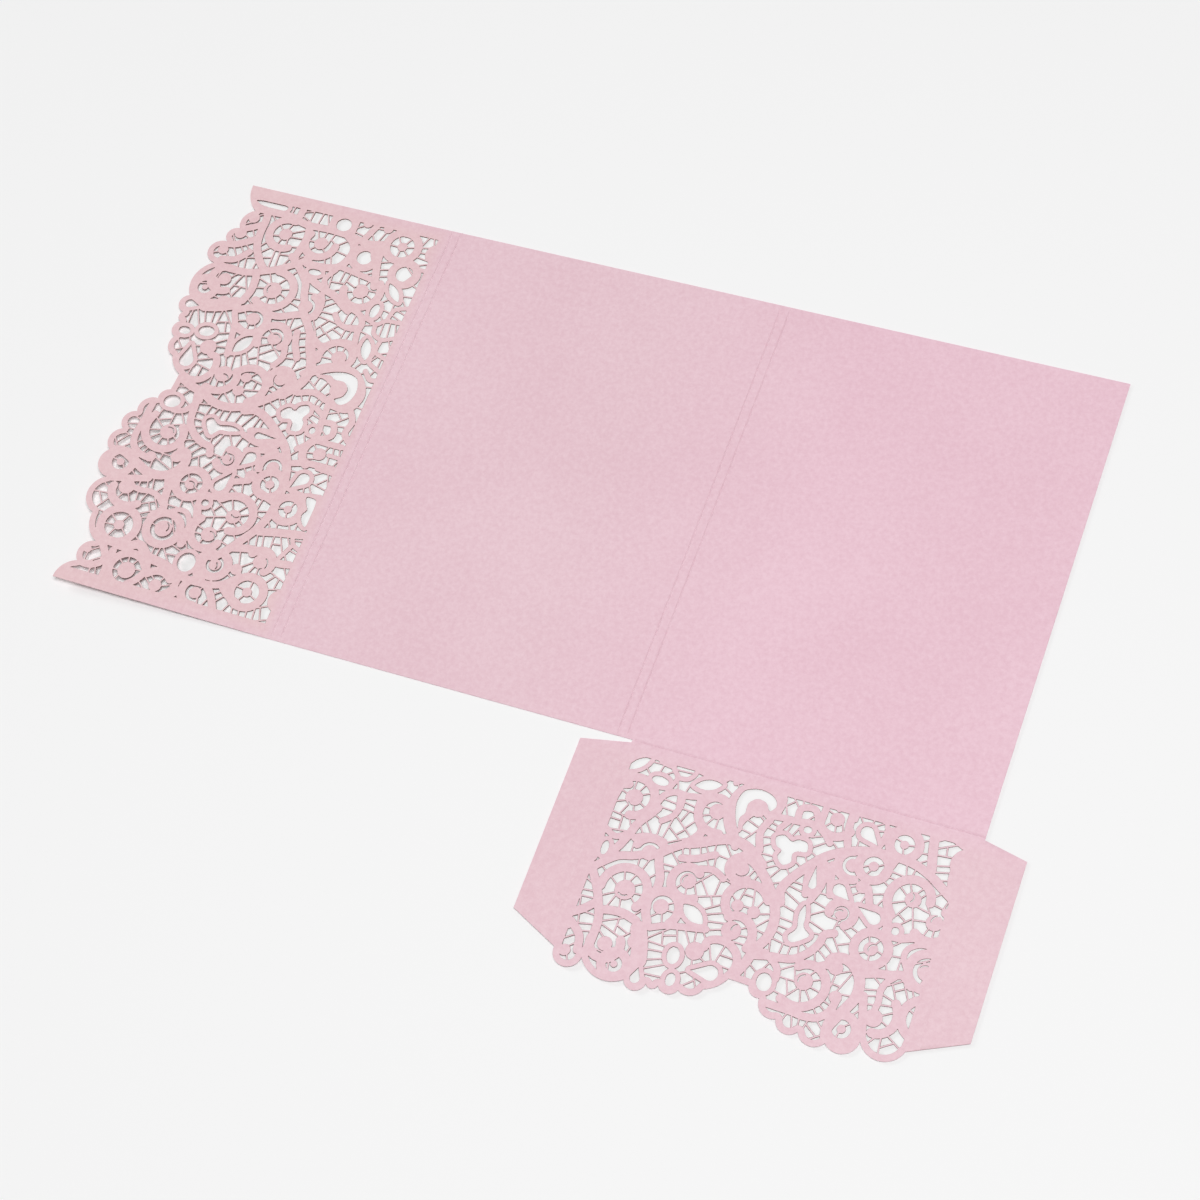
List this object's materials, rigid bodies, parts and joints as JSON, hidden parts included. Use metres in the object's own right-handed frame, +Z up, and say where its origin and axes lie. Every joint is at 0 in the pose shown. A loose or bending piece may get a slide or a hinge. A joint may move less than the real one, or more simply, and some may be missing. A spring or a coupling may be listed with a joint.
{
  "type": "pocket fold invitation card",
  "caption": "Opened-out pocket fold invitation of one folded sheet: plain centre panel, lace-cut flap with a lobed edge, and a side panel with a lace-cut pocket and glue tabs.",
  "frame": {"origin": "middle of the centre panel's underside, on the surface the card lies on", "axes": "+X along the width, toward the side panel with the pocket; +Y toward the panels' top edge; +Z up, out of the face the lace is folded over"},
  "size_m": [0.3645, 0.2619, 0.0041],
  "materials": {
    "card": "soft pearl pink card with a fine felt grain; the laser-cut edges are lightly browned"
  },
  "bodies": {
    "root": {"pocket_card": "card"}
  },
  "joints": []
}
